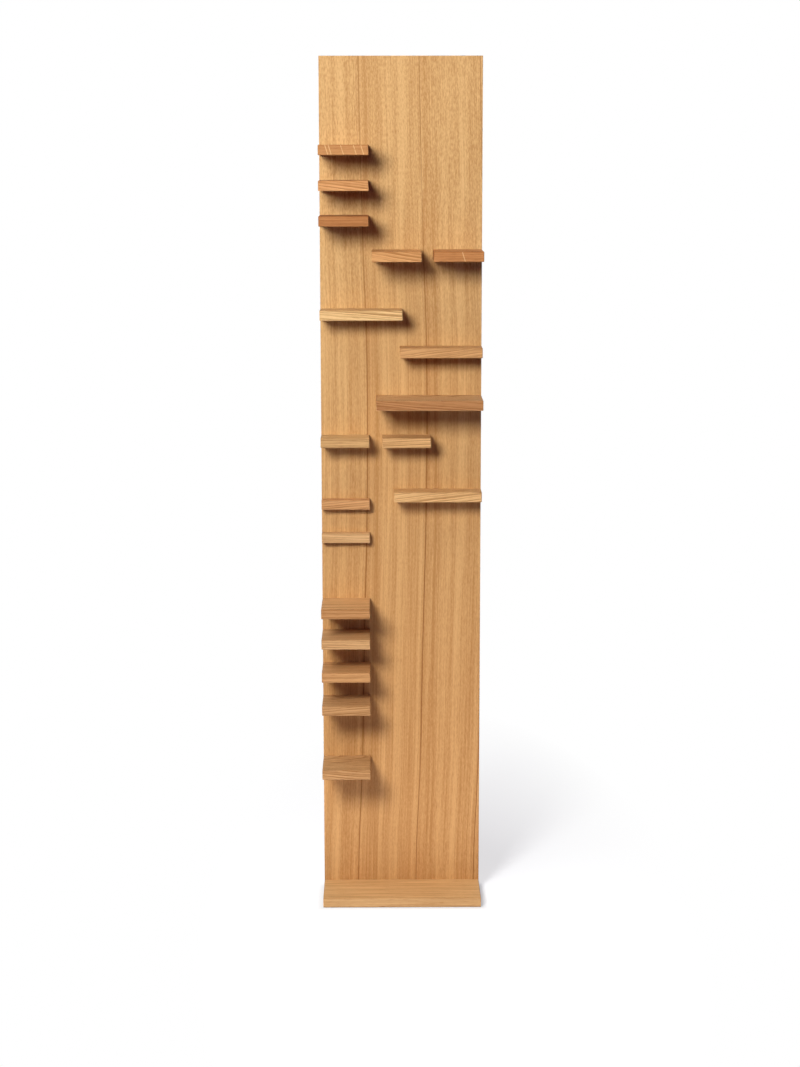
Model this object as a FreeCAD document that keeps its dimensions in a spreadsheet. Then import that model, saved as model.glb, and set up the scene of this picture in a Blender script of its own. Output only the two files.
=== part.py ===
"""Spine bookshelf: an upright veneered panel on a base board, with ledge shelves tenoned to its front."""
import FreeCAD, Part
import os
from collections import namedtuple

import Sketcher

Vector = FreeCAD.Vector

# Driving dimensions in millimetres, one sheet cell each.
SIZES = {
    # Back panel: board core between two veneers, lipped on three edges
    "panel_width": "340",
    "panel_height": "1779",
    "core_thickness": "19",
    "veneer_thickness": "0.6",
    "lipping_thickness": "6",
    "veneer_ease": "0.3",
    # Base board under the panel, reaching forward of its face
    "base_thickness": "21",
    "base_projection": "120",
    # Shelf boards
    "shelf_thickness": "21",
    "arris": "1",
    "short_length": "103",
    "left_shelf_09_length": "173",
    "right_shelf_01_length": "186",
    "right_shelf_02_length": "223",
    "right_shelf_03_length": "173",
    "low_pair_gap": "26.5",
    "high_pair_gap": "25",
    # Clear height under each level and under the panel's top, which all spread as the panel's height changes
    "clear_01": "263",
    "clear_02": "116",
    "clear_03": "52",
    "clear_04": "52.5",
    "clear_05": "47.5",
    "clear_06": "124",
    "clear_07": "51.5",
    "clear_08": "0",
    "clear_09": "95.5",
    "clear_10": "63",
    "clear_11": "84",
    "clear_12": "58",
    "clear_13": "102",
    "clear_14": "51",
    "clear_15": "51",
    "clear_16": "51",
    "clear_17": "181",
    # How far each shelf stands out from the panel
    "left_shelf_01_depth": "114",
    "left_shelf_02_depth": "99",
    "left_shelf_03_depth": "101",
    "left_shelf_04_depth": "107",
    "left_shelf_05_depth": "119",
    "left_shelf_06_depth": "21",
    "left_shelf_07_depth": "23",
    "left_shelf_08_depth": "57",
    "left_shelf_09_depth": "66",
    "left_shelf_10_depth": "100",
    "left_shelf_11_depth": "102",
    "left_shelf_12_depth": "106",
    "centre_shelf_01_depth": "60",
    "centre_shelf_02_depth": "108",
    "right_shelf_01_depth": "56",
    "right_shelf_02_depth": "106",
    "right_shelf_03_depth": "60",
    "right_shelf_04_depth": "105",
    # Loose tenons and their mortises
    "tenon_thickness": "8",
    "tenon_width": "50",
    "tenon_in_panel": "12",
    "tenon_in_shelf": "26",
    "tenon_inset": "45",
    "glue_gap": "0.1",
    "mortise_spare": "0.5",
    # Dowels of the two strips
    "dowel_diameter": "6",
    "dowel_in_panel": "10",
    "dowel_in_shelf": "12",
    "dowel_inset": "20",
    # Joint between the panel and the base board
    "base_tenon_in_base": "13",
    "base_tenon_in_panel": "30",
    "base_tenon_inset": "85",
    "screw_diameter": "5",
    "screw_head_diameter": "10",
    "screw_length": "60",
    "screw_point": "6",
    "screw_sink": "0.5",
    "screw_inset": "30",
    # Keyhole slots for two wall screws
    "keyhole_spacing": "200",
    "keyhole_drop": "90",
    "keyhole_entry_diameter": "10",
    "keyhole_neck_width": "5",
    "keyhole_rise": "14",
    "keyhole_lip": "4",
    "keyhole_depth": "10",
}

# Levels run upwards from the base board to the panel's top. Lefts are from the panel's left edge.
PANEL_TOP = sum(alias.startswith("clear_") for alias in SIZES)
Shelf = namedtuple("Shelf", "name level left length fixing")
LEFT = "0"
SHORT = "Sizes.short_length"
LOW_PAIR = "(Sizes.short_length + Sizes.low_pair_gap)"
HIGH_PAIR = "(Sizes.panel_width - 2 * Sizes.short_length - Sizes.high_pair_gap)"


def left_shelf(number, level, fixing="one tenon", length=SHORT):
    return Shelf(f"left_shelf_{number:02d}", level, LEFT, length, fixing)


def right_shelf(number, level, fixing="two tenons", length=None):
    name = f"right_shelf_{number:02d}"
    length = length or f"Sizes.{name}_length"
    return Shelf(name, level, f"(Sizes.panel_width - {length})", length, fixing)


SHELVES = [
    left_shelf(1, 1),
    left_shelf(2, 2),
    left_shelf(3, 3),
    left_shelf(4, 4),
    left_shelf(5, 5),
    left_shelf(6, 6, "dowels"),
    left_shelf(7, 7, "dowels"),
    left_shelf(8, 9),
    left_shelf(9, 12, "two tenons", "Sizes.left_shelf_09_length"),
    left_shelf(10, 14),
    left_shelf(11, 15),
    left_shelf(12, 16),
    Shelf("centre_shelf_01", 9, LOW_PAIR, SHORT, "one tenon"),
    Shelf("centre_shelf_02", 13, HIGH_PAIR, SHORT, "one tenon"),
    right_shelf(1, 8),
    right_shelf(2, 10),
    right_shelf(3, 11),
    right_shelf(4, 13, "one tenon", SHORT),
]


def stack_below(level):
    """The clear heights and boards below a level, added up."""
    clear = " + ".join(f"Sizes.clear_{step:02d}" for step in range(1, level + 1))
    return f"({clear} + {level - 1} * Sizes.shelf_thickness)"


def underside(level):
    """Height of a level's underside above the panel's foot, as its share of the panel's height."""
    return f"({stack_below(level)} * Sizes.panel_height / {stack_below(PANEL_TOP)})"


# Formulas that several pieces share. The box of the whole piece is centred on the origin in X and Y.
PANEL_THICKNESS = "(Sizes.core_thickness + 2 * Sizes.veneer_thickness)"
BASE_DEPTH = f"(Sizes.base_projection + {PANEL_THICKNESS})"
PANEL_LEFT = "-Sizes.panel_width / 2"
BASE_FRONT = f"-{BASE_DEPTH} / 2"
PANEL_FRONT = f"(Sizes.base_projection - {PANEL_THICKNESS}) / 2"
SCREW_HOLE_RADIUS = "(Sizes.screw_diameter / 2 + Sizes.glue_gap)"

doc = FreeCAD.newDocument("spine_bookshelf")
sheet = doc.addObject("Spreadsheet::Sheet", "Sizes")
for row, (alias, number) in enumerate(SIZES.items(), start=1):
    sheet.set(f"A{row}", alias.replace("_", " "))
    sheet.set(f"B{row}", number)
    sheet.setAlias(f"B{row}", alias)
doc.recompute()


def number_of(formula):
    """The present value of a formula over the sheet."""
    return float(sheet.evalExpression(formula))


def shelf_middle(shelf):
    """Height above the floor of the middle of a shelf's thickness."""
    return f"(Sizes.base_thickness + {underside(shelf.level)} + Sizes.shelf_thickness / 2)"


def place(piece, x, y, z):
    """Ties a piece's position to three formulas."""
    for axis, formula in zip("xyz", (x, y, z)):
        piece.setExpression(f"Placement.Base.{axis}", formula)


def new_body(label, x, y, z):
    body = doc.addObject("PartDesign::Body", label)
    body.Label = label
    place(body, x, y, z)
    return body


def new_sketch(body, role, offset=None):
    """A sketch on one of the body's own origin planes, or on a plane set off along its normal."""
    sketch = body.newObject("Sketcher::SketchObject", f"{body.Label}_outline")
    plane = next(feature for feature in body.Origin.OriginFeatures if feature.Role == role)
    sketch.AttachmentSupport = (plane, [""])
    sketch.MapMode = "FlatFace"
    if offset:
        sketch.setExpression("AttachmentOffset.Base.z", offset)
    return sketch


def constrain(sketch, fixed, sized):
    """Adds a figure's constraints in one step and ties its dimensions to their formulas."""
    first = sketch.ConstraintCount + len(fixed)
    dimensions = [(*where, number_of(formula)) for formula, *where in sized]
    sketch.addConstraint([Sketcher.Constraint(*parts) for parts in [*fixed, *dimensions]])
    for index, (formula, *_) in enumerate(sized, start=first):
        sketch.setExpression(f"Constraints[{index}]", formula)


def draw_polygon(sketch, corners):
    """A closed outline through corners given as pairs of formulas, where None is on the sketch's axis."""
    points = [Vector(*(number_of(formula) if formula else 0 for formula in corner)) for corner in corners]
    count = len(points)
    lines = [sketch.addGeometry(Part.LineSegment(points[i - 1], points[i])) for i in range(count)]
    fixed = [("Coincident", lines[i], 2, lines[(i + 1) % count], 1) for i in range(count)]
    sized = []
    for line, (x, y) in zip(lines, corners):
        for formula, kind, axis in ((x, "DistanceX", -2), (y, "DistanceY", -1)):
            if formula:
                sized.append((formula, kind, -1, 1, line, 2))
            else:
                fixed.append(("PointOnObject", line, 2, axis))
    constrain(sketch, fixed, sized)


def draw_rectangle(sketch, right, top, left=None):
    """A rectangle standing on the sketch's X axis, from its Y axis or from a line right of it."""
    draw_polygon(sketch, [(left, None), (right, None), (right, top), (left, top)])


def draw_upright_slot(sketch, x, y, rise, radius):
    """An upright round-ended slot: x and y place the centre of its lower end."""
    foot = Vector(number_of(x), number_of(y))
    head = foot + Vector(0, number_of(rise))
    side, reach = Vector(number_of(radius), 0), Vector(0, number_of(radius))
    edges = [
        sketch.addGeometry(Part.LineSegment(foot + side, head + side)),
        sketch.addGeometry(Part.Arc(head + side, head + reach, head - side)),
        sketch.addGeometry(Part.LineSegment(head - side, foot - side)),
        sketch.addGeometry(Part.Arc(foot - side, foot - reach, foot + side)),
    ]
    fixed = [("Tangent", edges[i], 2, edges[(i + 1) % 4], 1) for i in range(4)]
    fixed += [("Equal", edges[1], edges[3]), ("Vertical", edges[0])]
    sized = [
        (x, "DistanceX", -1, 1, edges[3], 3),
        (y, "DistanceY", -1, 1, edges[3], 3),
        (rise, "DistanceY", edges[3], 3, edges[1], 3),
        (radius, "Radius", edges[1]),
    ]
    constrain(sketch, fixed, sized)


def draw_circle(sketch, x, y, radius):
    centre = Vector(number_of(x), number_of(y))
    circle = sketch.addGeometry(Part.Circle(centre, Vector(0, 0, 1), number_of(radius)))
    sized = [
        (x, "DistanceX", -1, 1, circle, 3),
        (y, "DistanceY", -1, 1, circle, 3),
        (radius, "Radius", circle),
    ]
    constrain(sketch, [], sized)


def extrude(body, kind, sketch, length, backwards=False):
    """A pad along the sketch's normal or a pocket against it, turned round where asked."""
    feature = body.newObject(f"PartDesign::{kind}", f"{body.Label}_{kind.lower()}")
    feature.Profile = sketch
    feature.Reversed = backwards
    feature.setExpression("Length", length)
    sketch.Visibility = False
    return feature


def ease_edges(body, feature, size, wanted):
    """Chamfers those edges of a feature whose corner points all satisfy a rule."""
    doc.recompute()
    names = [
        f"Edge{index}"
        for index, edge in enumerate(feature.Shape.Edges, start=1)
        if wanted([vertex.Point for vertex in edge.Vertexes])
    ]
    chamfer = body.newObject("PartDesign::Chamfer", f"{body.Label}_arris")
    chamfer.Base = (feature, names)
    chamfer.setExpression("Size", size)
    doc.recompute()


def tenon_centres(shelf):
    """Where a shelf's tenons lie along it, from its left end."""
    if shelf.fixing == "one tenon":
        return [f"{shelf.length} / 2"]
    if shelf.fixing == "two tenons":
        return ["Sizes.tenon_inset", f"({shelf.length} - Sizes.tenon_inset)"]
    return []


def dowel_centres(shelf):
    """Where a strip's dowels lie along it, from its left end."""
    if shelf.fixing == "dowels":
        return ["Sizes.dowel_inset", f"({shelf.length} - Sizes.dowel_inset)"]
    return []


def gather(label, pieces):
    """Pieces of one kind as one group of separate solids."""
    group = doc.addObject("Part::Compound", label)
    group.Label = label
    group.Links = pieces
    return group


def make_block(label, corner, size, grow=("0", "0", "0")):
    """A squared block from its lowest corner, grown by a margin on both sides along each axis."""
    block = doc.addObject("Part::Box", label)
    block.Label = label
    place(block, *(f"{start} - {margin}" for start, margin in zip(corner, grow)))
    for side, length, margin in zip(("Length", "Width", "Height"), size, grow):
        block.setExpression(side, f"{length} + 2 * {margin}")
    return block


def make_shelf_tenons(label, *grow):
    """One squared tenon for each place along each shelf, part in the panel and part in the shelf."""
    length = "(Sizes.tenon_in_shelf + Sizes.tenon_in_panel)"
    size = ("Sizes.tenon_width", length, "Sizes.tenon_thickness")
    tenons = []
    for shelf in SHELVES:
        for centre in tenon_centres(shelf):
            corner = (
                f"{PANEL_LEFT} + {shelf.left} + {centre} - Sizes.tenon_width / 2",
                f"{PANEL_FRONT} - Sizes.tenon_in_shelf",
                f"{shelf_middle(shelf)} - Sizes.tenon_thickness / 2",
            )
            tenons.append(make_block(f"{label}_{len(tenons) + 1:02d}", corner, size, *grow))
    return tenons


def make_strip_dowels(label, gap="0", spare="0"):
    """Plain dowels lying along Y, part in the panel and part in a strip."""
    dowels = []
    for shelf in SHELVES:
        for centre in dowel_centres(shelf):
            dowel = doc.addObject("Part::Cylinder", label)
            dowel.setExpression("Radius", f"Sizes.dowel_diameter / 2 + {gap}")
            dowel.setExpression("Height", f"Sizes.dowel_in_panel + Sizes.dowel_in_shelf + 2 * {spare}")
            dowel.Placement.Rotation = FreeCAD.Rotation(Vector(1, 0, 0), 90)
            place(
                dowel,
                f"{PANEL_LEFT} + {shelf.left} + {centre}",
                f"{PANEL_FRONT} + Sizes.dowel_in_panel + {spare}",
                shelf_middle(shelf),
            )
            dowels.append(dowel)
    return dowels


# Places of the base joint along the panel's width, and its line under the middle of the panel.
BASE_TENONS = ["Sizes.base_tenon_inset", "(Sizes.panel_width - Sizes.base_tenon_inset)"]
BASE_SCREWS = ["Sizes.screw_inset", "(Sizes.panel_width / 2)", "(Sizes.panel_width - Sizes.screw_inset)"]
BASE_JOINT_LINE = f"(Sizes.base_projection + {PANEL_THICKNESS} / 2)"


def make_base_tenons(label, *grow):
    """Squared tenons standing in the base board, under the middle of the panel."""
    length = "(Sizes.base_tenon_in_base + Sizes.base_tenon_in_panel)"
    size = ("Sizes.tenon_width", "Sizes.tenon_thickness", length)
    tenons = []
    for centre in BASE_TENONS:
        corner = (
            f"{PANEL_LEFT} + {centre} - Sizes.tenon_width / 2",
            f"{BASE_FRONT} + {BASE_JOINT_LINE} - Sizes.tenon_thickness / 2",
            "Sizes.base_thickness - Sizes.base_tenon_in_base",
        )
        tenons.append(make_block(f"{label}_{len(tenons) + 1}", corner, size, *grow))
    return tenons


# The same cutters, a little larger than the tenons and dowels, open both sides of every joint.
joint_cutters = gather(
    "joint_cutters",
    make_shelf_tenons("shelf_mortise_cutter", ("Sizes.glue_gap", "Sizes.mortise_spare", "Sizes.glue_gap"))
    + make_base_tenons("base_mortise_cutter", ("Sizes.glue_gap", "Sizes.glue_gap", "Sizes.mortise_spare"))
    + make_strip_dowels("dowel_hole_cutter", "Sizes.glue_gap", "Sizes.mortise_spare"),
)


def cut_joints(label, blank):
    """A piece with the mortises and dowel holes of its joints cut in it."""
    piece = doc.addObject("Part::Cut", label)
    piece.Label = label
    piece.Base = blank
    piece.Tool = joint_cutters
    return piece


# Keyhole slots: entry centres from the panel's left edge, and the formulas of their outline.
KEYHOLES = [f"(Sizes.panel_width {sign} Sizes.keyhole_spacing) / 2" for sign in "-+"]
KEYHOLE_FOOT = "(Sizes.panel_height - Sizes.keyhole_drop)"
ENTRY_RADIUS = "Sizes.keyhole_entry_diameter / 2"
NECK_RADIUS = "Sizes.keyhole_neck_width / 2"


def cut_keyholes(body, plane, entry_depth, neck_depth):
    """The round entries and the narrow necks above them, cut forwards from a plane in the body."""
    entries = new_sketch(body, "XZ_Plane", plane)
    necks = new_sketch(body, "XZ_Plane", plane)
    for centre in KEYHOLES:
        draw_circle(entries, centre, KEYHOLE_FOOT, ENTRY_RADIUS)
        draw_upright_slot(necks, centre, KEYHOLE_FOOT, "Sizes.keyhole_rise", NECK_RADIUS)
    extrude(body, "Pocket", entries, entry_depth, backwards=True)
    extrude(body, "Pocket", necks, neck_depth, backwards=True)


def make_core():
    """The board core, with mortises in front and below and undercut keyhole slots behind."""
    front = f"{PANEL_FRONT} + Sizes.veneer_thickness"
    body = new_body("core_blank", PANEL_LEFT, front, "Sizes.base_thickness")
    outline = new_sketch(body, "XZ_Plane")
    right = "(Sizes.panel_width - Sizes.lipping_thickness)"
    top = "(Sizes.panel_height - Sizes.lipping_thickness)"
    draw_rectangle(outline, right, top, left="Sizes.lipping_thickness")
    extrude(body, "Pad", outline, "Sizes.core_thickness", backwards=True)
    pilots = new_sketch(body, "XY_Plane")
    for centre in BASE_SCREWS:
        draw_circle(pilots, centre, "Sizes.core_thickness / 2", SCREW_HOLE_RADIUS)
    pilot_depth = "Sizes.screw_sink + Sizes.screw_length - Sizes.base_thickness + Sizes.mortise_spare"
    extrude(body, "Pocket", pilots, pilot_depth, backwards=True)
    lip_in_core = "Sizes.keyhole_lip - Sizes.veneer_thickness"
    cut_keyholes(body, "-Sizes.core_thickness", "Sizes.keyhole_depth - Sizes.veneer_thickness", lip_in_core)
    undercuts = new_sketch(body, "XZ_Plane", f"{lip_in_core} - Sizes.core_thickness")
    for centre in KEYHOLES:
        draw_upright_slot(undercuts, centre, KEYHOLE_FOOT, "Sizes.keyhole_rise", ENTRY_RADIUS)
    extrude(body, "Pocket", undercuts, "Sizes.keyhole_depth - Sizes.keyhole_lip", backwards=True)
    return cut_joints("back_panel_core", body)


def make_veneer(label, front):
    """One face veneer, the full size of the panel."""
    body = new_body(label, PANEL_LEFT, front, "Sizes.base_thickness")
    outline = new_sketch(body, "XZ_Plane")
    draw_rectangle(outline, "Sizes.panel_width", "Sizes.panel_height")
    sheet_of_oak = extrude(body, "Pad", outline, "Sizes.veneer_thickness", backwards=True)
    return body, sheet_of_oak


def make_front_veneer():
    """The front veneer: its outer edges are eased, its foot stays square on the base board."""
    body, sheet_of_oak = make_veneer("front_veneer_blank", PANEL_FRONT)
    ease_edges(
        body,
        sheet_of_oak,
        "Sizes.veneer_ease",
        lambda points: all(abs(point.y) < 1e-6 for point in points) and any(point.z > 1 for point in points),
    )
    return cut_joints("front_veneer", body)


def make_rear_veneer():
    """The rear veneer, pierced by the keyholes."""
    behind_core = f"{PANEL_FRONT} + Sizes.veneer_thickness + Sizes.core_thickness"
    body, sheet_of_oak = make_veneer("rear_veneer", behind_core)
    ease_edges(
        body,
        sheet_of_oak,
        "Sizes.veneer_ease",
        lambda points: all(point.y > 1e-6 for point in points) and any(point.z > 1 for point in points),
    )
    cut_keyholes(body, "-Sizes.veneer_thickness", "Sizes.veneer_thickness", "Sizes.veneer_thickness")
    return body


def make_lippings():
    """Solid oak strips glued to the side and top edges of the core, under the veneers."""
    front = f"{PANEL_FRONT} + Sizes.veneer_thickness"
    thickness, depth = "Sizes.lipping_thickness", "Sizes.core_thickness"
    left_corner = (PANEL_LEFT, front, "Sizes.base_thickness")
    right_corner = (f"Sizes.panel_width / 2 - {thickness}", front, "Sizes.base_thickness")
    top_corner = (
        f"{PANEL_LEFT} + {thickness}",
        front,
        f"Sizes.base_thickness + Sizes.panel_height - {thickness}",
    )
    between_sides = f"(Sizes.panel_width - 2 * {thickness})"
    return [
        make_block("left_lipping", left_corner, (thickness, depth, "Sizes.panel_height")),
        make_block("right_lipping", right_corner, (thickness, depth, "Sizes.panel_height")),
        make_block("top_lipping", top_corner, (between_sides, depth, thickness)),
    ]


def make_base():
    """The base board, eased all round, mortised above and countersunk below for its joint with the panel."""
    body = new_body("base_blank", PANEL_LEFT, BASE_FRONT, "0")
    outline = new_sketch(body, "XY_Plane")
    draw_rectangle(outline, "Sizes.panel_width", BASE_DEPTH)
    board = extrude(body, "Pad", outline, "Sizes.base_thickness")
    ease_edges(body, board, "Sizes.arris", lambda points: True)
    centres = new_sketch(body, "XY_Plane")
    for centre in BASE_SCREWS:
        draw_circle(centres, centre, BASE_JOINT_LINE, SCREW_HOLE_RADIUS)
    doc.recompute()
    hole = body.newObject("PartDesign::Hole", "base_screw_holes")
    hole.Profile = centres
    hole.Reversed = True
    hole.DepthType = "ThroughAll"
    hole.HoleCutType = "Countersink"
    hole.HoleCutCountersinkAngle = 90
    hole.setExpression("Diameter", f"2 * {SCREW_HOLE_RADIUS}")
    head_room = "2 * (Sizes.screw_sink + Sizes.glue_gap)"
    hole.setExpression("HoleCutDiameter", f"Sizes.screw_head_diameter + {head_room}")
    return cut_joints("base_board", body)


def make_shelf(shelf):
    """A shelf board: back face on the panel, every other edge eased, mortised or drilled in its back."""
    height = f"Sizes.base_thickness + {underside(shelf.level)}"
    body = new_body(f"{shelf.name}_blank", f"{PANEL_LEFT} + {shelf.left}", PANEL_FRONT, height)
    outline = new_sketch(body, "XZ_Plane")
    draw_rectangle(outline, shelf.length, "Sizes.shelf_thickness")
    board = extrude(body, "Pad", outline, f"Sizes.{shelf.name}_depth")
    ease_edges(body, board, "Sizes.arris", lambda points: any(point.y < -1e-6 for point in points))
    return cut_joints(shelf.name, body)


def draw_screw_profile(sketch):
    """Half of a countersunk screw, head down: flat head, cone, shank and point, closed along the axis."""
    head, shank = "Sizes.screw_head_diameter / 2", "Sizes.screw_diameter / 2"
    corners = [
        (None, None),
        (head, None),
        (shank, f"{head} - {shank}"),
        (shank, "Sizes.screw_length - Sizes.screw_point"),
        (None, "Sizes.screw_length"),
    ]
    draw_polygon(sketch, corners)


def make_base_screws():
    """Countersunk screws driven up through the base board into the foot of the core."""
    screws = []
    for index, centre in enumerate(BASE_SCREWS, start=1):
        line = f"{BASE_FRONT} + {BASE_JOINT_LINE}"
        body = new_body(f"base_screw_{index}", f"{PANEL_LEFT} + {centre}", line, "Sizes.screw_sink")
        profile = new_sketch(body, "XZ_Plane")
        draw_screw_profile(profile)
        turned = body.newObject("PartDesign::Revolution", f"base_screw_{index}_turned")
        turned.Profile = profile
        turned.ReferenceAxis = (profile, ["V_Axis"])
        turned.Angle = 360
        screws.append(body)
    return screws


nodes = [make_base(), make_core(), *make_lippings(), make_front_veneer(), make_rear_veneer()]
nodes += [make_shelf(shelf) for shelf in SHELVES]
nodes += [
    gather("shelf_tenons", make_shelf_tenons("shelf_tenon")),
    gather("strip_dowels", make_strip_dowels("strip_dowel")),
    gather("base_tenons", make_base_tenons("base_tenon")),
    gather("base_screws", make_base_screws()),
]
doc.recompute()

for item in doc.Objects:
    if "Invalid" in item.State or "Error" in item.State:
        raise RuntimeError(f"{item.Label} did not recompute: {item.State}")
    if item.TypeId in ("PartDesign::Pocket", "PartDesign::Hole", "Part::Cut"):
        before = item.Base if item.TypeId == "Part::Cut" else item.BaseFeature
        if before.Shape.Volume - item.Shape.Volume < 1:
            raise RuntimeError(f"{item.Label} cuts nothing")
for node in nodes:
    if node.Shape.isNull() or not node.Shape.isValid():
        raise RuntimeError(f"{node.Label} has no valid shape")

os.makedirs("parts", exist_ok=True)
for node in nodes:
    node.Shape.exportStep(f"parts/{node.Label}.step")
    print(f"{node.Label}: {len(node.Shape.Solids)} solids, {node.Shape.Volume / 1000:.1f} cm3")
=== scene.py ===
"""The looks of a spine bookshelf: an oak back panel on a base board, with eighteen small ledge shelves."""
import math

import bmesh
import bpy
from mathutils import Euler, Matrix, Vector


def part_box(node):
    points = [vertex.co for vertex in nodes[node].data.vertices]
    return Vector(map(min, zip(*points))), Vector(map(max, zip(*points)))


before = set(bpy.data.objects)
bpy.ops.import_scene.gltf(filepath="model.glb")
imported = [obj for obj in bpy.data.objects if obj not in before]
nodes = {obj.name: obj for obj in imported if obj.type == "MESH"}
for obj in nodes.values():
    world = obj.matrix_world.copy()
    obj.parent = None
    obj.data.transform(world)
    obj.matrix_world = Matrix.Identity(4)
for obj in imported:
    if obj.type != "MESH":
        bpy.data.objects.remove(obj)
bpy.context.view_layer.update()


# Base board: a planed oak board the full width of the panel, with its grain running from side to side.
# It is oiled, its arrises are sanded, and the panel stands on its rear edge, tenoned and screwed to it.


def add(tree, kind, inputs=(), **settings):
    """A shader node with its settings. Each input is a value, or an output to link from."""
    made = tree.nodes.new(f"ShaderNode{kind}")
    for name, value in settings.items():
        setattr(made, name, value)
    for socket, value in dict(inputs).items():
        if isinstance(value, bpy.types.NodeSocket):
            tree.links.new(value, made.inputs[socket])
        else:
            made.inputs[socket].default_value = value
    return made


def calc(tree, operation, *values):
    """The result of a sum on numbers."""
    return add(tree, "Math", enumerate(values), operation=operation).outputs[0]


def calc_vector(tree, operation, *values):
    """The result of a sum on vectors."""
    return add(tree, "VectorMath", enumerate(values), operation=operation).outputs[0]


def split_axes(tree, vector):
    """The X, Y and Z parts of a vector."""
    return add(tree, "SeparateXYZ", {0: vector}).outputs


def stretch(tree, value, low, high, to_low=0.0, to_high=1.0):
    """A value eased from one range to another and held at its ends."""
    ends = {"Value": value, "From Min": low, "From Max": high, "To Min": to_low, "To Max": to_high}
    return add(tree, "MapRange", ends, interpolation_type="SMOOTHSTEP").outputs[0]


def noise(tree, vector, scale, detail=2.0, roughness=0.5, output=0):
    """Soft random values around a half, at a scale for each axis."""
    point = calc_vector(tree, "MULTIPLY", vector, scale)
    inputs = {"Vector": point, "Scale": 1.0, "Detail": detail, "Roughness": roughness}
    return add(tree, "TexNoise", inputs).outputs[output]


def add_layer(tree, tone, layer, share, middle=0.5):
    """A tone raised by a share of a layer above its middle, and lowered by one below it."""
    above = calc(tree, "SUBTRACT", layer, middle)
    return calc(tree, "ADD", tone, calc(tree, "MULTIPLY", above, share))


def blend_colours(tree, share, first, second, kind="MIX"):
    """Two colours mixed by a share from 0 to 1. A Mix node takes colours at 6 and 7 and gives one at 2."""
    inputs = {0: share, 6: first, 7: second}
    return add(tree, "Mix", inputs, data_type="RGBA", blend_type=kind).outputs[2]


def new_group(name, inputs, outputs):
    """A shader node group with named sockets, and its inner ends."""
    group = bpy.data.node_groups.new(name, "ShaderNodeTree")
    for side, sockets in (("INPUT", inputs), ("OUTPUT", outputs)):
        for title, kind in sockets.items():
            group.interface.new_socket(title, in_out=side, socket_type=f"NodeSocket{kind}")
    return group, group.nodes.new("NodeGroupInput").outputs, group.nodes.new("NodeGroupOutput").inputs


def give_outputs(group, ends, **results):
    """Links results to the group's named outputs."""
    for title, result in results.items():
        group.links.new(result, ends[title])


DRIFT_SCALE = (70, 70, 2.2)
FIBRE_SCALE = (420, 420, 9)
PORE_SCALE = (1500, 1500, 55)
PORE_RANGE = (0.55, 0.72)


def make_fibre_group():
    """Oak's fine structure along Z: slow drifts of tone, fibres, and the dark flecks of open pores."""
    results = {"Drift": "Float", "Fibre": "Float", "Pore": "Float"}
    group, given, ends = new_group("oak_fibre", {"Vector": "Vector"}, results)
    where = given["Vector"]
    drift = noise(group, where, DRIFT_SCALE, detail=3.0)
    fibre = noise(group, where, FIBRE_SCALE, detail=3.0, roughness=0.6)
    pore = stretch(group, noise(group, where, PORE_SCALE, detail=1.0), *PORE_RANGE)
    give_outputs(group, ends, Drift=drift, Fibre=fibre, Pore=pore)
    return group


oak_fibre = make_fibre_group()
FIBRE_RELIEF = 0.3


def fibre_relief(tree, fibre):
    """The height of an oiled face: raised fibres and sunken pores."""
    return calc(tree, "SUBTRACT", calc(tree, "MULTIPLY", fibre["Fibre"], FIBRE_RELIEF), fibre["Pore"])


RING_SWAY_SCALE = (22, 22, 5)
RING_SWAY = (0.008, 0.008, 0.0)
RING_UNEVEN_SCALE = (140, 1, 1)
RING_UNEVEN = 2.2
RING_FADE = 2.0
RING_MIDDLE = 0.24
BREAK_RANGE = (0.3, 0.62)
BREAK_LEFT = 0.45
STREAK_SCALE = (300, 300, 6)
TIMBER_TONE = 0.39
TIMBER_SHARES = {"Drift": 0.7, "Fibre": 0.6}
STREAK_SHARE = 1.3
PORE_SHARE = 0.35
END_SHARE = 0.55
OPEN_GRAIN = (0.0, 1.2)
TIMBER_ROUGH = (0.46, 0.66)


def ring_lines(group, where, ring_width):
    """Porous lines round a pith along Z, dark at the start of each ring and fading outwards."""
    sway = noise(group, where, RING_SWAY_SCALE, output="Color")
    sway = calc_vector(group, "SUBTRACT", sway, (0.5, 0.5, 0.5))
    bent = calc_vector(group, "ADD", where, calc_vector(group, "MULTIPLY", sway, RING_SWAY))
    across = split_axes(group, bent)
    squares = [calc(group, "POWER", across[axis], 2.0) for axis in (0, 1)]
    radius = calc(group, "SQRT", calc(group, "ADD", *squares))
    turns = calc(group, "DIVIDE", radius, ring_width)
    uneven = noise(group, add(group, "CombineXYZ", {0: radius}).outputs[0], RING_UNEVEN_SCALE, detail=1.0)
    turns = calc(group, "ADD", turns, calc(group, "MULTIPLY", uneven, RING_UNEVEN))
    return calc(group, "POWER", calc(group, "SUBTRACT", 1.0, calc(group, "FRACT", turns)), RING_FADE)


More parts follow.
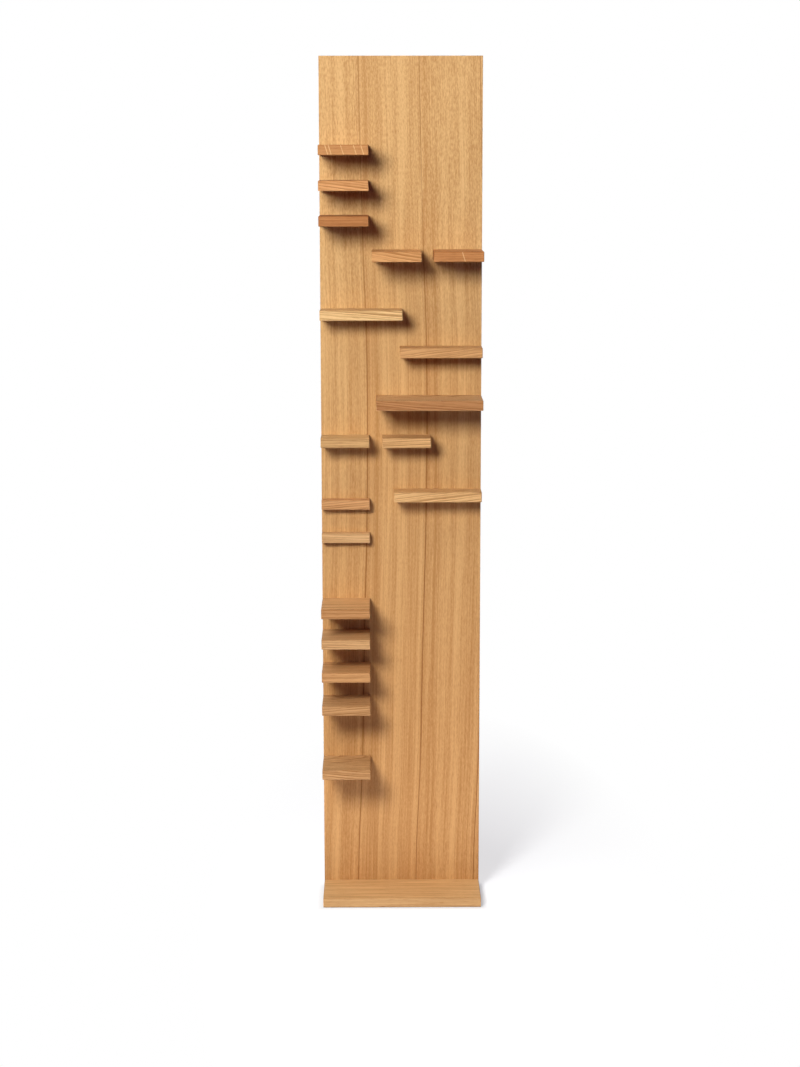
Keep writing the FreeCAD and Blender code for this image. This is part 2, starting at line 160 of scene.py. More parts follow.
def make_timber_group():
    """Solid oak round a pith along Z: porous ring lines, fibres, and darker end grain."""
    group, given, ends = new_group(
        "oak_timber",
        {
            "Vector": "Vector",
            "End": "Float",
            "Pale": "Color",
            "Deep": "Color",
            "Ring Width": "Float",
            "Ring Depth": "Float",
        },
        {"Color": "Color", "Roughness": "Float", "Height": "Float"},
    )
    where = given["Vector"]
    fibre = add(group, "Group", {"Vector": where}, node_tree=oak_fibre).outputs
    line = ring_lines(group, where, given["Ring Width"])
    line = calc(group, "MULTIPLY", line, stretch(group, fibre["Fibre"], *BREAK_RANGE, BREAK_LEFT, 1.0))
    tone = add_layer(group, TIMBER_TONE, line, given["Ring Depth"], RING_MIDDLE)
    for layer, share in TIMBER_SHARES.items():
        tone = add_layer(group, tone, fibre[layer], share)
    tone = add_layer(group, tone, noise(group, where, STREAK_SCALE), STREAK_SHARE)

    colour = blend_colours(group, calc(group, "MAXIMUM", tone, 0.0), given["Pale"], given["Deep"])
    pores = calc(group, "MULTIPLY", fibre["Pore"], PORE_SHARE)
    colour = blend_colours(group, pores, colour, given["Deep"], "MULTIPLY")
    colour = blend_colours(group, calc(group, "MULTIPLY", given["End"], END_SHARE), colour, given["Deep"])
    rough = stretch(group, calc(group, "ADD", line, fibre["Pore"]), *OPEN_GRAIN, *TIMBER_ROUGH)
    give_outputs(group, ends, Color=colour, Roughness=rough, Height=fibre_relief(group, fibre))
    return group


oak_timber = make_timber_group()
ARRIS_ROUNDING = 0.7


def make_arris_group():
    """A share that rises to 1 along the edges of a squared board between two corners."""
    group, given, ends = new_group(
        "arris_nearness",
        {"Vector": "Vector", "Low": "Vector", "High": "Vector", "Reach": "Float"},
        {"Edge": "Float"},
    )
    low_side = calc_vector(group, "SUBTRACT", given["Vector"], given["Low"])
    high_side = calc_vector(group, "SUBTRACT", given["High"], given["Vector"])
    gaps = split_axes(group, calc_vector(group, "MINIMUM", low_side, high_side))
    near = [calc(group, "SUBTRACT", 1.0, calc(group, "DIVIDE", gap, given["Reach"])) for gap in gaps]
    near = [calc(group, "MAXIMUM", share, 0.0) for share in near]
    pairs = [calc(group, "MULTIPLY", near[axis], near[axis - 1]) for axis in range(3)]
    edge = calc(group, "MAXIMUM", calc(group, "MAXIMUM", pairs[0], pairs[1]), pairs[2])
    give_outputs(group, ends, Edge=stretch(group, edge, 0.0, ARRIS_ROUNDING))
    return group


arris_nearness = make_arris_group()


def new_material(name):
    """An empty node material: its tree, its shader and its texture coordinates."""
    material = bpy.data.materials.new(name)
    material.use_nodes = True
    tree = material.node_tree
    tree.nodes.clear()
    shader = add(tree, "BsdfPrincipled")
    add(tree, "OutputMaterial", {"Surface": shader.outputs[0]})
    return material, tree, shader, add(tree, "TexCoord").outputs


SATIN_GLOSS = 0.05
BUMP_STRENGTH = 0.6


def set_shader(tree, shader, colour, roughness, height, depth):
    """Colour, roughness and a bump of a given depth in metres."""
    bump = add(tree, "Bump", {"Height": height, "Distance": depth, "Strength": BUMP_STRENGTH})
    shader.inputs["Specular IOR Level"].default_value = SATIN_GLOSS
    for socket, result in (("Base Color", colour), ("Roughness", roughness), ("Normal", bump.outputs[0])):
        tree.links.new(result, shader.inputs[socket])


def dress(node, material):
    """Gives a node from the model its finish."""
    nodes[node].data.materials.clear()
    nodes[node].data.materials.append(material)


RAY_LEAN = 0.32
RAY_EDGE = (0.0003, 0.0014)
RAY_SHARE = 0.8
RAY_BREAK_SCALE = (160, 160, 160)
RAY_BREAKS = (0.28, 0.44)
RAY_CREAM = (0.71, 0.52, 0.29, 1)


def ray_flecks(tree, place, low, rays):
    """Pale rays that lean across the front of a quartered board, at distances from its left end."""
    from_corner = split_axes(tree, calc_vector(tree, "SUBTRACT", place, low))
    along = calc(tree, "ADD", from_corner[0], calc(tree, "MULTIPLY", from_corner[2], RAY_LEAN))
    share = 0.0
    for ray in rays:
        gap = calc(tree, "ABSOLUTE", calc(tree, "SUBTRACT", along, ray))
        share = calc(tree, "MAXIMUM", share, stretch(tree, gap, *RAY_EDGE, RAY_SHARE, 0.0))
    broken = noise(tree, place, RAY_BREAK_SCALE)
    return calc(tree, "MULTIPLY", share, stretch(tree, broken, *RAY_BREAKS))


# Board edges take a painted shade along the top and a painted highlight below, partly standing for oil and
# sanding wear.
ARRIS_REACH = 0.002
ARRIS_SHADE_AND_WEAR = 0.6


def shade_and_wear_edges(tree, place, low, high, colour, pale, deep):
    """Board edges: partly oil and sanding wear, partly a painted shade on top and a painted highlight
    below.
    """
    board = {"Vector": place, "Low": low, "High": high, "Reach": ARRIS_REACH}
    edge = add(tree, "Group", board, node_tree=arris_nearness).outputs[0]
    middle = (low.z + high.z) / 2
    quarter = (high.z - low.z) / 4
    level = split_axes(tree, place)[2]
    arris = blend_colours(tree, stretch(tree, level, middle - quarter, middle + quarter), pale, deep)
    return blend_colours(tree, calc(tree, "MULTIPLY", edge, ARRIS_SHADE_AND_WEAR), colour, arris)


GRAIN_ALONG_X = math.radians(90)
PALE_SHADE = (1.2, 1.25, 1.3)
DEEP_SHADE = (0.68, 0.59, 0.5)
# The darker colour of fronts and tops, partly their own tint and partly painted shade.
FACE_TINT_AND_PAINTED_SHADE = (0.72, 0.6, 0.53, 1)
FACE_FROM = 0.55
FACE_TO = 0.95
CALM_TOP = 0.7
TIMBER_RELIEF = 0.0002


def shaded(tone, shade):
    """A tone times a shade, as a colour."""
    return (*(part * share for part, share in zip(tone, shade)), 1)


def make_board_oak(
    node,
    tone,
    pith,
    slope=0.0,
    upright=False,
    ring_width=0.0046,
    ring_depth=0.9,
    front_tint_and_painted_shade=0.0,
    top_tint_and_painted_shade=0.0,
    shade=FACE_TINT_AND_PAINTED_SHADE,
    rays=(),
):
    """Oiled oak with its grain along a board, upright or from side to side, on a slope in degrees.

    The pith is its log's offset from the board's middle. Front and top are darkened by a share, part tint,
    part painted shade.
    """
    material, tree, shader, coordinates = new_material(f"{node}_oak")
    place = coordinates["Object"]
    facing = split_axes(tree, coordinates["Normal"])
    front = stretch(tree, facing["Y"], -FACE_TO, -FACE_FROM, 1.0, 0.0)
    top = stretch(tree, facing["Z"], FACE_FROM, FACE_TO)
    end = stretch(tree, calc(tree, "ABSOLUTE", facing["Z" if upright else "X"]), FACE_FROM, FACE_TO)
    pale = shaded(tone, PALE_SHADE)
    deep = shaded(tone, DEEP_SHADE)

    low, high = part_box(node)
    log = add(tree, "Mapping", {"Vector": place}, vector_type="TEXTURE")
    log.inputs["Location"].default_value = (low + high) / 2 + Vector(pith)
    turn = 0.0 if upright else GRAIN_ALONG_X
    log.inputs["Rotation"].default_value = (0, turn + math.radians(slope), 0)
    grain = {
        "Vector": log.outputs[0],
        "End": end,
        "Pale": pale,
        "Deep": deep,
        "Ring Width": ring_width,
        "Ring Depth": stretch(tree, facing["Z"], FACE_FROM, FACE_TO, ring_depth, ring_depth * CALM_TOP),
    }
    timber = add(tree, "Group", grain, node_tree=oak_timber).outputs

    colour = timber["Color"]
    # Fronts and tops darkened by a share: partly their own tint, partly painted shade.
    for face, depth in ((front, front_tint_and_painted_shade), (top, top_tint_and_painted_shade)):
        if depth:
            colour = blend_colours(tree, calc(tree, "MULTIPLY", face, depth), colour, shade, "MULTIPLY")
    if rays:
        flecks = calc(tree, "MULTIPLY", front, ray_flecks(tree, place, low, rays))
        colour = blend_colours(tree, flecks, colour, RAY_CREAM)
    # Painted shade along the top edges and a painted highlight along the bottom edges, with some wear.
    if not upright:
        colour = shade_and_wear_edges(tree, place, low, high, colour, pale, deep)
    set_shader(tree, shader, colour, timber["Roughness"], timber["Height"], TIMBER_RELIEF)
    return material


BASE_TONE = (0.687, 0.450, 0.228)
# Painted shade on the base board's front, which is darker than its top.
BASE_FRONT_PAINTED_SHADE = (0.715, 0.715, 0.715, 1)
base_oak = make_board_oak(
    "base_board",
    tone=BASE_TONE,
    pith=(0.0, 0.02, -0.16),
    slope=0.4,
    ring_depth=0.18,
    front_tint_and_painted_shade=1.0,
    shade=BASE_FRONT_PAINTED_SHADE,
)
dress("base_board", base_oak)


# Back panel core: a plain fibreboard sheet that the veneers are pressed on, mortised for the shelves.
# It shows only inside the keyhole slots at the rear.

FIBREBOARD_DARK = (0.36, 0.24, 0.13, 1)
FIBREBOARD_PALE = (0.56, 0.40, 0.24, 1)
FIBREBOARD_SCALE = (900, 900, 900)
FIBREBOARD_ROUGH = (0.8, 0.95)
FIBREBOARD_RELIEF = 0.0003
CLOUD_RANGE = (0.3, 0.7)


def make_fibreboard():
    """Pressed wood fibre: pale and dark flecks, dull all over."""
    material, tree, shader, coordinates = new_material("fibreboard")
    flecks = noise(tree, coordinates["Object"], FIBREBOARD_SCALE, detail=4.0, roughness=0.7)
    colour = blend_colours(tree, flecks, FIBREBOARD_DARK, FIBREBOARD_PALE)
    rough = stretch(tree, flecks, *CLOUD_RANGE, *FIBREBOARD_ROUGH)
    set_shader(tree, shader, colour, rough, flecks, FIBREBOARD_RELIEF)
    return material


dress("back_panel_core", make_fibreboard())


# Lippings: thin strips of solid oak glued to the sides and top of the core before it was veneered.
# Their grain runs along each strip.

LIPPING_TONE = (0.55, 0.34, 0.165)
LIPPING_PITH = (0.03, 0.05, 0.04)


def make_lipping_oak(node, upright):
    """Oak for a strip, with calm rings."""
    return make_board_oak(node, LIPPING_TONE, LIPPING_PITH, slope=0.3, upright=upright, ring_depth=0.5)


for side in ("left", "right"):
    dress(f"{side}_lipping", make_lipping_oak(f"{side}_lipping", upright=True))
dress("top_lipping", make_lipping_oak("top_lipping", upright=False))


# Front veneer: upright leaves of oak cut one after another from the same log and laid side by side,
# so that the same figure, a thin dark line with brown and pale streaks beside it, comes back in each leaf.
# The leaves are pressed on the core, and their joints wander a little from foot to top.

LEAF_WIDTH = 0.1265
LEAF_STEP = 0.0035
FIRST_LINE = -0.0865

# Level in metres: how far the joints stand to the side there, in millimetres, up to the reach.
DRIFT_REACH = 20
LINE_DRIFT = {
    0.0: -9.5,
    0.09: -8,
    0.21: -3,
    0.33: 1.5,
    0.51: 4.5,
    0.69: 9,
    0.81: 12,
    1.11: 14,
    1.41: 6,
    1.65: 0,
    1.8: -3,
}

# Millimetres across a leaf: tone there, from 0, deep, to 1, pale.
LEAF_FIGURE = {
    0: 0.02,
    4: 0.29,
    12: 0.54,
    17: 0.4,
    22: 0.18,
    27: 0.44,
    32: 0.46,
    36: 0.78,
    41: 0.58,
    46: 0.7,
    55: 0.5,
    63: 0.38,
    71: 0.78,
    80: 0.8,
    89: 0.44,
    112: 0.42,
    118: 0.74,
    123: 0.4,
    126: 0.05,
}


def joint_drift(group, level):
    """How far the joints stand to the side at a level, in metres."""
    height = max(LINE_DRIFT)
    curve = add(group, "FloatCurve", {"Value": calc(group, "DIVIDE", level, height)})
    points = curve.mapping.curves[0].points
    ready = len(points)
    for index, (at, shift) in enumerate(LINE_DRIFT.items()):
        place = (at / height, shift / (2 * DRIFT_REACH) + 0.5)
        if index < ready:
            points[index].location = place
        else:
            points.new(*place)
    curve.mapping.update()
    return calc(group, "MULTIPLY", calc(group, "SUBTRACT", curve.outputs[0], 0.5), 2 * DRIFT_REACH / 1000)


def leaf_figure(group, share):
    """The tone of the figure at a share of a leaf's width."""
    figure = add(group, "ValToRGB", {0: share})
    stops = figure.color_ramp.elements
    figure.color_ramp.interpolation = "EASE"
    ready = len(stops)
    for index, (millimetres, tone) in enumerate(LEAF_FIGURE.items()):
        place = millimetres / 1000 / LEAF_WIDTH
        stop = stops[index] if index < ready else stops.new(place)
        stop.position = place
        stop.color = (tone, tone, tone, 1)
    return figure.outputs[0]


LEAF_SWAY_SCALE = (30, 30, 4)
LEAF_SWAY = 0.02
LEAF_STREAK_SCALE = (270, 270, 2.5)
THREAD_SCALE = (600, 600, 4)
FLECK_SCALE = (480, 480, 140)
FLECK_LEVELS = (1.1, 1.6)
FLECK_TOP = 2.1
TOP_LEVELS = (1.4, 1.65)
TOP_LEAN = 0.11
TOP_CALM = 0.75
FOOT_LEVELS = (0.2, 0.5)
FOOT_PALE = 0.3
PALE_AFTER = (0.003, 0.013)
PALE_BEFORE = (0.005, 0.001)
SEAM_PLACE = 0.0375
SEAM_LEAN = 0.018
SEAM_EDGE = (0.002, 0.009)
SEAM_LEVELS = (0.15, 0.6)
SEAM_DEPTHS = (0.4, 0.12)
LEAF_SHARES = {"Drift": 0.6, "Fibre": 0.5}
LEAF_STREAK_SHARE = 0.95
THREAD_SHARE = 1.15


def leaf_tone(group, where, share, in_leaf, level, fibre):
    """The tone of the leaves from 0, deep, to 1, pale: figure, flecks, a seam and fine streaks."""
    swayed = add_layer(group, share, noise(group, where, LEAF_SWAY_SCALE), LEAF_SWAY)
    swayed = calc(group, "SUBTRACT", swayed, stretch(group, level, *TOP_LEVELS, 0.0, TOP_LEAN))
    figure = leaf_figure(group, calc(group, "FRACT", calc(group, "ADD", swayed, 1.0)))
    tone = add_layer(group, 0.5, figure, stretch(group, level, *TOP_LEVELS, 1.0, TOP_CALM))
    flecks = noise(group, where, FLECK_SCALE)
    tone = add_layer(group, tone, flecks, stretch(group, level, *FLECK_LEVELS, 1.0, FLECK_TOP))

    before = stretch(group, in_leaf, *(LEAF_WIDTH - gap for gap in PALE_BEFORE))
    beside = calc(group, "MAXIMUM", stretch(group, in_leaf, *PALE_AFTER, 1.0, 0.0), before)
    paler = calc(group, "MULTIPLY", beside, stretch(group, level, *FOOT_LEVELS, FOOT_PALE, 0.0))
    tone = calc(group, "ADD", tone, paler)
    seam_place = calc(group, "SUBTRACT", SEAM_PLACE, calc(group, "MULTIPLY", level, SEAM_LEAN))
    seam_gap = calc(group, "ABSOLUTE", calc(group, "SUBTRACT", in_leaf, seam_place))
    seam_depth = stretch(group, level, *SEAM_LEVELS, *SEAM_DEPTHS)
    seam = calc(group, "MULTIPLY", stretch(group, seam_gap, *SEAM_EDGE, 1.0, 0.0), seam_depth)
    tone = calc(group, "SUBTRACT", tone, seam)

    for layer, layer_share in LEAF_SHARES.items():
        tone = add_layer(group, tone, fibre[layer], layer_share)
    tone = add_layer(group, tone, noise(group, where, LEAF_STREAK_SCALE), LEAF_STREAK_SHARE)
    return add_layer(group, tone, noise(group, where, THREAD_SCALE, detail=1.0), THREAD_SHARE)


HEART_TINT = (0.9, 0.78, 0.7, 1)
HEART_BEFORE = (0.045, 0.012)
HEART_AFTER = (0.01, 0.032)
HEART_FOOT_LEVELS = (0.03, 0.2)
HEART_FOOT = 0.28
HEART_RISE_LEVELS = (0.78, 1.0)
HEART_MIDDLE = 0.3
HEART_FALL_LEVELS = (1.15, 1.45)
HEART_TOP = 0.25


def heart_brown(group, in_leaf, level):
    """The share of brown heartwood on both sides of a joint at the foot, and after it in the middle."""
    before = stretch(group, in_leaf, *(LEAF_WIDTH - gap for gap in HEART_BEFORE))
    after = stretch(group, in_leaf, *HEART_AFTER, 1.0, 0.0)
    low = stretch(group, level, *HEART_FOOT_LEVELS, HEART_FOOT, 0.0)
    high = stretch(group, level, *HEART_RISE_LEVELS, 0.0, HEART_MIDDLE)
    high = calc(group, "MULTIPLY", high, stretch(group, level, *HEART_FALL_LEVELS, 1.0, HEART_TOP))
    after = calc(group, "MULTIPLY", after, calc(group, "ADD", low, high))
    return calc(group, "MAXIMUM", calc(group, "MULTIPLY", before, low), after)


JOINT_BROWN = (0.25, 0.11, 0.04, 1)
JOINT_EDGE = (0.001, 0.0026)
JOINT_PATCH_SCALE = (8, 8, 5)
JOINT_PATCHES = (0.35, 0.65)
JOINT_PATCH_SHARES = (0.8, 1.0)
JOINT_FOOT_SHARES = (0.85, 0.95)
JOINT_FADE_LEVELS = (0.9, 1.5)
JOINT_TOP = 0.58


def joint_line(group, where, in_leaf, level):
    """The share of the thin dark line at a joint, fainter in patches, at the foot and towards the top."""
    line = stretch(group, in_leaf, *JOINT_EDGE, 1.0, 0.0)
    patches = stretch(group, noise(group, where, JOINT_PATCH_SCALE), *JOINT_PATCHES, *JOINT_PATCH_SHARES)
    foot = stretch(group, level, *FOOT_LEVELS, *JOINT_FOOT_SHARES)
    fade = stretch(group, level, *JOINT_FADE_LEVELS, 1.0, JOINT_TOP)
    for share in (patches, foot, fade):
        line = calc(group, "MULTIPLY", line, share)
    return line


# The leaves are redder towards the foot and paler and yellower towards the top.
FOOT_TINT = (1.02, 0.97, 0.93, 1)
TOP_TINT = (1.0, 1.06, 1.12, 1)
FOOT_TO_TOP_LEVELS = (0.2, 1.5)
LEAF_PORE_SHARE = 0.3
LEAF_ROUGH = (0.48, 0.66)


def make_leaf_group():
    """Slip-matched oak leaves standing side by side along X."""
    group, given, ends = new_group(
        "oak_leaves",
        {"Vector": "Vector", "Pale": "Color", "Deep": "Color"},
        {"Color": "Color", "Roughness": "Float", "Height": "Float"},
    )
    axes = split_axes(group, given["Vector"])
    level = axes[2]
    start = calc(group, "SUBTRACT", calc(group, "SUBTRACT", axes[0], joint_drift(group, level)), FIRST_LINE)
    leaves = calc(group, "DIVIDE", start, LEAF_WIDTH)
    share = calc(group, "FRACT", leaves)
    in_leaf = calc(group, "MULTIPLY", share, LEAF_WIDTH)
    slice_depth = calc(group, "MULTIPLY", calc(group, "FLOOR", leaves), LEAF_STEP)
    where = add(group, "CombineXYZ", {0: in_leaf, 1: slice_depth, 2: level}).outputs[0]
    fibre = add(group, "Group", {"Vector": where}, node_tree=oak_fibre).outputs

    tone = leaf_tone(group, where, share, in_leaf, level, fibre)
    colour = blend_colours(group, tone, given["Deep"], given["Pale"])
    colour = blend_colours(group, heart_brown(group, in_leaf, level), colour, HEART_TINT, "MULTIPLY")
    colour = blend_colours(group, joint_line(group, where, in_leaf, level), colour, JOINT_BROWN)
    tint = blend_colours(group, stretch(group, level, *FOOT_TO_TOP_LEVELS), FOOT_TINT, TOP_TINT)
    colour = blend_colours(group, 1.0, colour, tint, "MULTIPLY")
    pores = calc(group, "MULTIPLY", fibre["Pore"], LEAF_PORE_SHARE)
    colour = blend_colours(group, pores, colour, given["Deep"], "MULTIPLY")
    rough = stretch(group, fibre["Pore"], 0.0, 1.0, *LEAF_ROUGH)
    give_outputs(group, ends, Color=colour, Roughness=rough, Height=fibre_relief(group, fibre))
    return group


oak_leaves = make_leaf_group()
VENEER_PALE = (0.657, 0.432, 0.216)
VENEER_DEEP = (0.461, 0.26, 0.1105)
VENEER_RELIEF = 0.00005


def make_veneer(name, pale, deep):
    """Oiled oak leaves between two tones."""
    material, tree, shader, coordinates = new_material(name)
    colours = {"Vector": coordinates["Object"], "Pale": (*pale, 1), "Deep": (*deep, 1)}
    leaves = add(tree, "Group", colours, node_tree=oak_leaves).outputs
    set_shader(tree, shader, leaves["Color"], leaves["Roughness"], leaves["Height"], VENEER_RELIEF)
    return material


dress("front_veneer", make_veneer("front_veneer_oak", VENEER_PALE, VENEER_DEEP))


# Rear veneer: backing leaves of the same oak, a little darker, with two keyhole slots for wall screws.
# They are pressed on the back of the core, which keeps the panel flat.

REAR_PALE = (0.645, 0.42, 0.21)
REAR_DEEP = (0.452, 0.26, 0.118)
dress("rear_veneer", make_veneer("rear_veneer_oak", REAR_PALE, REAR_DEEP))


# Shelves: eighteen short planed oak boards, each cut from a different plank, so each has its own tone
# and grain. They are glued to the panel's front on hidden tenons, or on dowels for the two narrow strips.

# The front and top shares darken those faces, partly a tint of their own and partly painted shade.
SHELVES = {
    "left_shelf_01": dict(
        tone=(0.531, 0.328, 0.166), pith=(0.0, 0.05, -0.06), slope=6.0, ring_depth=1.2, front_tint_and_painted_shade=0.25
    ),
    "left_shelf_02": dict(tone=(0.493, 0.295, 0.148), pith=(0.0, 0.04, -0.09), slope=-4.0, ring_depth=1.2),
    "left_shelf_03": dict(tone=(0.536, 0.311, 0.150), pith=(0.0, 0.06, -0.1), slope=0.5, ring_width=0.006),
    "left_shelf_04": dict(
        tone=(0.564, 0.362, 0.193),
        pith=(0.0, 0.03, -0.08),
        slope=1.0,
        ring_width=0.0034,
        ring_depth=1.2,
        top_tint_and_painted_shade=0.18,
    ),
    "left_shelf_05": dict(
        tone=(0.574, 0.350, 0.176),
        pith=(0.0, 0.05, -0.12),
        ring_width=0.014,
        ring_depth=1.3,
        front_tint_and_painted_shade=0.62,
    ),
    "left_shelf_06": dict(
        tone=(0.639, 0.433, 0.244), pith=(0.0, 0.1, 0.15), slope=2.0, ring_depth=0.6, top_tint_and_painted_shade=0.4
    ),
    "left_shelf_07": dict(tone=(0.552, 0.322, 0.163), pith=(0.0, 0.04, 0.1), slope=-5.0, top_tint_and_painted_shade=0.35),
    "left_shelf_08": dict(
        tone=(0.568, 0.383, 0.199),
        pith=(0.0, 0.03, -0.12),
        ring_width=0.0038,
        ring_depth=1.2,
        front_tint_and_painted_shade=0.2,
    ),
    "left_shelf_09": dict(
        tone=(0.639, 0.453, 0.245),
        pith=(0.0, 0.05, -0.1),
        slope=4.0,
        ring_width=0.0042,
        ring_depth=1.5,
        top_tint_and_painted_shade=0.45,
    ),
    "left_shelf_10": dict(
        tone=(0.385, 0.180, 0.075), pith=(0.0, 0.1, 0.3), ring_depth=0.25, top_tint_and_painted_shade=0.25
    ),
    "left_shelf_11": dict(
        tone=(0.577, 0.325, 0.158), pith=(0.0, 0.04, -0.06), slope=7.0, ring_width=0.0034, top_tint_and_painted_shade=0.25
    ),
    "left_shelf_12": dict(
        tone=(0.470, 0.248, 0.112),
        pith=(0.0, 0.02, -0.3),
        ring_depth=0.5,
        rays=(0.021, 0.028, 0.053, 0.079, 0.094),
    ),
    "centre_shelf_01": dict(
        tone=(0.615, 0.398, 0.204),
        pith=(0.0, 0.04, -0.1),
        slope=-3.0,
        ring_width=0.0038,
        ring_depth=1.2,
        top_tint_and_painted_shade=0.3,
    ),
    "centre_shelf_02": dict(
        tone=(0.564, 0.319, 0.149), pith=(0.0, 0.04, -0.05), slope=9.0, ring_width=0.0034, top_tint_and_painted_shade=0.2
    ),
    "right_shelf_01": dict(
        tone=(0.653, 0.434, 0.225), pith=(0.0, 0.05, -0.1), slope=-7.0, ring_depth=1.2, top_tint_and_painted_shade=0.35
    ),
    "right_shelf_02": dict(
        tone=(0.537, 0.330, 0.174), pith=(0.0, 0.05, -0.08), slope=5.0, ring_depth=1.4, front_tint_and_painted_shade=1.0
    ),
    "right_shelf_03": dict(tone=(0.527, 0.314, 0.154), pith=(0.0, 0.05, -0.1), slope=-8.0),
    "right_shelf_04": dict(
        tone=(0.452, 0.220, 0.095), pith=(0.0, 0.02, -0.3), ring_depth=0.7, rays=(0.0645,)
    ),
}
for shelf, timber in SHELVES.items():
    dress(shelf, make_board_oak(shelf, **timber))


# Tenons and dowels: loose pieces of raw beech, glued into the mortises and holes of each joint.
# They are hidden when the piece is together.

BEECH_DEEP = (0.50, 0.30, 0.17, 1)
BEECH_PALE = (0.68, 0.45, 0.28, 1)
BEECH_ROUGH = (0.5, 0.65)
BEECH_RELIEF = 0.0001


def make_beech():
    """Raw beech with fine upright fibres."""
    material, tree, shader, coordinates = new_material("beech")
    fibre = add(tree, "Group", {"Vector": coordinates["Object"]}, node_tree=oak_fibre).outputs["Fibre"]
    colour = blend_colours(tree, fibre, BEECH_DEEP, BEECH_PALE)
    set_shader(tree, shader, colour, stretch(tree, fibre, *CLOUD_RANGE, *BEECH_ROUGH), fibre, BEECH_RELIEF)
    return material


beech = make_beech()
for joinery in ("shelf_tenons", "strip_dowels", "base_tenons"):
    dress(joinery, beech)


# Base screws: zinc plated steel screws with countersunk heads, driven up through the base board into the
# panel's foot. They are seen only from below.

ZINC_DARK = (0.46, 0.46, 0.45, 1)
ZINC_PALE = (0.66, 0.66, 0.63, 1)
ZINC_SCALE = (350, 350, 350)
ZINC_ROUGH = (0.26, 0.42)
ZINC_RELIEF = 0.00005


def make_zinc():
    """Zinc plating, a little cloudy."""
    material, tree, shader, coordinates = new_material("zinc_plating")
    cloud = noise(tree, coordinates["Object"], ZINC_SCALE, detail=3.0)
    colour = blend_colours(tree, cloud, ZINC_DARK, ZINC_PALE)
    set_shader(tree, shader, colour, stretch(tree, cloud, *CLOUD_RANGE, *ZINC_ROUGH), cloud, ZINC_RELIEF)
    shader.inputs["Metallic"].default_value = 1.0
    return material


dress("base_screws", make_zinc())


# Floor: a plain white studio floor that the object stands on, running out into the white of the room.
# It keeps the object's soft shadow, and has a painted shadow close round the foot of the base board.

FLOOR_SIDE = 8.0
FLOOR_SEEN = (0.54, 0.61, 0.75, 1)
FLOOR_DIM = (0.17, 0.12, 0.13, 1)
FLOOR_LIFT = 0.612
# A painted contact shadow on the floor round the foot of the base board.
CONTACT_SHADOW_REACH = 0.02
CONTACT_SHADOW_DIM = 0.62
SHADOW_SIDE = (0.1, 0, 0)
FADE_STRETCH = (3, 1, 1)
FADE_FROM = 0.45
FADE_TO = 1.6


def seen_rays(tree):
    """1 for rays that show the background to the eye, straight or in a reflection."""
    rays = add(tree, "LightPath").outputs
    straight = calc(tree, "MAXIMUM", rays["Is Camera Ray"], rays["Is Glossy Ray"])
    return calc(tree, "MAXIMUM", straight, rays["Is Transmission Ray"])


def vector_length(tree, vector):
    """The length of a vector."""
    return add(tree, "VectorMath", {0: vector}, operation="LENGTH").outputs["Value"]


def painted_contact_shadow_share(tree, place):
    """1 on the open floor, less close round the foot of the base board: a painted contact shadow."""
    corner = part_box("base_board")[1]
    outside = calc_vector(tree, "SUBTRACT", calc_vector(tree, "ABSOLUTE", place), (corner.x, corner.y, 0))
    gap = vector_length(tree, calc_vector(tree, "MAXIMUM", outside, (0, 0, 0)))
    return stretch(tree, gap, 0.0, CONTACT_SHADOW_REACH, CONTACT_SHADOW_DIM, 1.0)


def make_floor_paint():
    """Matt white paint, lifted to white for the eye alone, and plain white far from the object."""
    material, tree, shader, coordinates = new_material("floor_paint")
    place = coordinates["Object"]
    shader.inputs["Roughness"].default_value = 1.0
    shader.inputs["Specular IOR Level"].default_value = 0.0
    seen = seen_rays(tree)
    tree.links.new(blend_colours(tree, seen, FLOOR_DIM, FLOOR_SEEN), shader.inputs["Base Color"])
    lift = calc(tree, "MULTIPLY", calc(tree, "MULTIPLY", seen, FLOOR_LIFT), painted_contact_shadow_share(tree, place))
    lift = add(tree, "Emission", {"Strength": lift})
    near = add(tree, "AddShader", {0: shader.outputs[0], 1: lift.outputs[0]})
    white = add(tree, "Emission", {"Strength": 1.0})
    from_shadow = calc_vector(tree, "SUBTRACT", place, SHADOW_SIDE)
    distance = vector_length(tree, calc_vector(tree, "MULTIPLY", from_shadow, FADE_STRETCH))
    away = add(tree, "MapRange", {"Value": distance, "From Min": FADE_FROM, "From Max": FADE_TO}).outputs[0]
    far = calc(tree, "MULTIPLY", away, seen)
    whole = add(tree, "MixShader", {0: far, 1: near.outputs[0], 2: white.outputs[0]})
    tree.links.new(whole.outputs[0], tree.nodes["Material Output"].inputs["Surface"])
    return material


def make_floor():
    """A flat square sheet with its middle under the object."""
    sheet = bmesh.new()
    bmesh.ops.create_grid(sheet, x_segments=1, y_segments=1, size=FLOOR_SIDE / 2)
    mesh = bpy.data.meshes.new("floor")
    sheet.to_mesh(mesh)
    sheet.free()
    floor = bpy.data.objects.new("floor", mesh)
    mesh.materials.append(make_floor_paint())
    bpy.context.scene.collection.objects.link(floor)
    return floor


make_floor()


# Light: one broad soft lamp high on the left in front of the panel, and a weaker one overhead.
# A white card low in front and the glow of the white floor at the foot soften the shadows,
# and the room is dim in front and brighter behind.

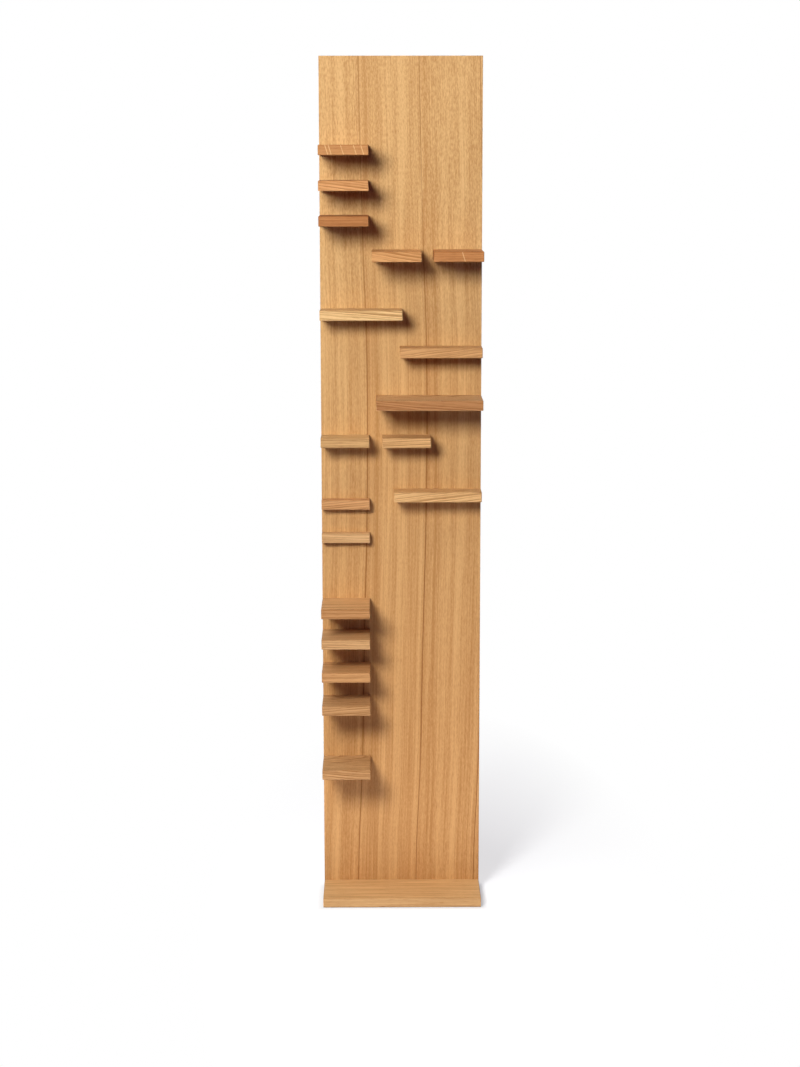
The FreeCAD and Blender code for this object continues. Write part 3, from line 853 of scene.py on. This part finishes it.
LAMP_WHITE = (1.0, 0.897, 0.72)
FLOOR_WHITE = (1.0, 0.874, 0.775)
CARD_WHITE = (1.0, 0.97, 0.95)
ROOM_FRONT = (0.034, 0.006, 0.04, 1)
ROOM_REAR = (0.66, 0.59, 0.5, 1)
ROOM_TURN = (0.0, 0.8)
LAMPS = {
    "key_lamp": dict(place=(-1.2, -3.0, 2.56), aim=(0, 0, 1.8), sides=(0.85, 1.45), power=141.5, tilt=-30),
    "top_lamp": dict(place=(-2.0, -2.3, 5.9), aim=(0, 0, 0.9), sides=(2.8, 2.8), power=77),
    "floor_glow": dict(
        place=(0, -0.3747, 0.001),
        aim=(0, -0.3747, 1),
        sides=(1.0, 0.607),
        power=2.53,
        shape="RECTANGLE",
        colour=FLOOR_WHITE,
    ),
    "fill_card": dict(
        place=(0.1, -0.6, 0.52), aim=(0, 0, 0.52), sides=(0.5, 0.5), power=0.24, colour=CARD_WHITE
    ),
}


def light_room():
    """The room: white to the eye, and a soft light that comes mostly from behind."""
    room = bpy.data.worlds.new("room")
    room.use_nodes = True
    tree = room.node_tree
    tree.nodes.clear()
    direction = split_axes(tree, add(tree, "TexCoord").outputs["Generated"])
    glow = blend_colours(tree, stretch(tree, direction[1], *ROOM_TURN), ROOM_FRONT, ROOM_REAR)
    dim = add(tree, "Background", {"Color": glow, "Strength": 1.0})
    bright = add(tree, "Background", {"Color": (1, 1, 1, 1), "Strength": 1.0})
    whole = add(tree, "MixShader", {0: seen_rays(tree), 1: dim.outputs[0], 2: bright.outputs[0]})
    add(tree, "OutputWorld", {"Surface": whole.outputs[0]})
    bpy.context.scene.world = room


def hang_lamp(name, place, aim, sides, power, tilt=0, shape="ELLIPSE", colour=LAMP_WHITE):
    """A flat soft lamp that faces a point, tilted in its own plane by degrees."""
    lamp = bpy.data.objects.new(name, bpy.data.lights.new(name, "AREA"))
    lamp.data.shape = shape
    lamp.data.size, lamp.data.size_y = sides
    lamp.data.energy = power
    lamp.data.color = colour
    lamp.location = place
    facing = (Vector(aim) - Vector(place)).to_track_quat("-Z", "Y").to_matrix()
    lamp.rotation_euler = (facing @ Matrix.Rotation(math.radians(tilt), 3, "Z")).to_euler()
    bpy.context.scene.collection.objects.link(lamp)


light_room()
for lamp, setting in LAMPS.items():
    hang_lamp(lamp, **setting)


# Camera: at a standing person's eye height, a little left of the middle, looking slightly down.
# Its place, turn and lens come from a fit of the object's corners and shelf edges to the photo's frame.

CAMERA_PLACE = (-0.0391, -4.4821, 1.6117)
CAMERA_PITCH, CAMERA_YAW, CAMERA_ROLL = (math.radians(angle) for angle in (10.18, 0.460, 0.069))
LENS = 72.38

camera = bpy.data.objects.new("camera", bpy.data.cameras.new("camera"))
camera.data.lens = LENS
camera.location = CAMERA_PLACE
level = Euler((math.pi / 2 - CAMERA_PITCH, 0, -CAMERA_YAW)).to_matrix()
camera.rotation_euler = (level @ Matrix.Rotation(-CAMERA_ROLL, 3, "Z")).to_euler()
bpy.context.scene.collection.objects.link(camera)
bpy.context.scene.camera = camera
bpy.context.scene.view_settings.view_transform = "Standard"
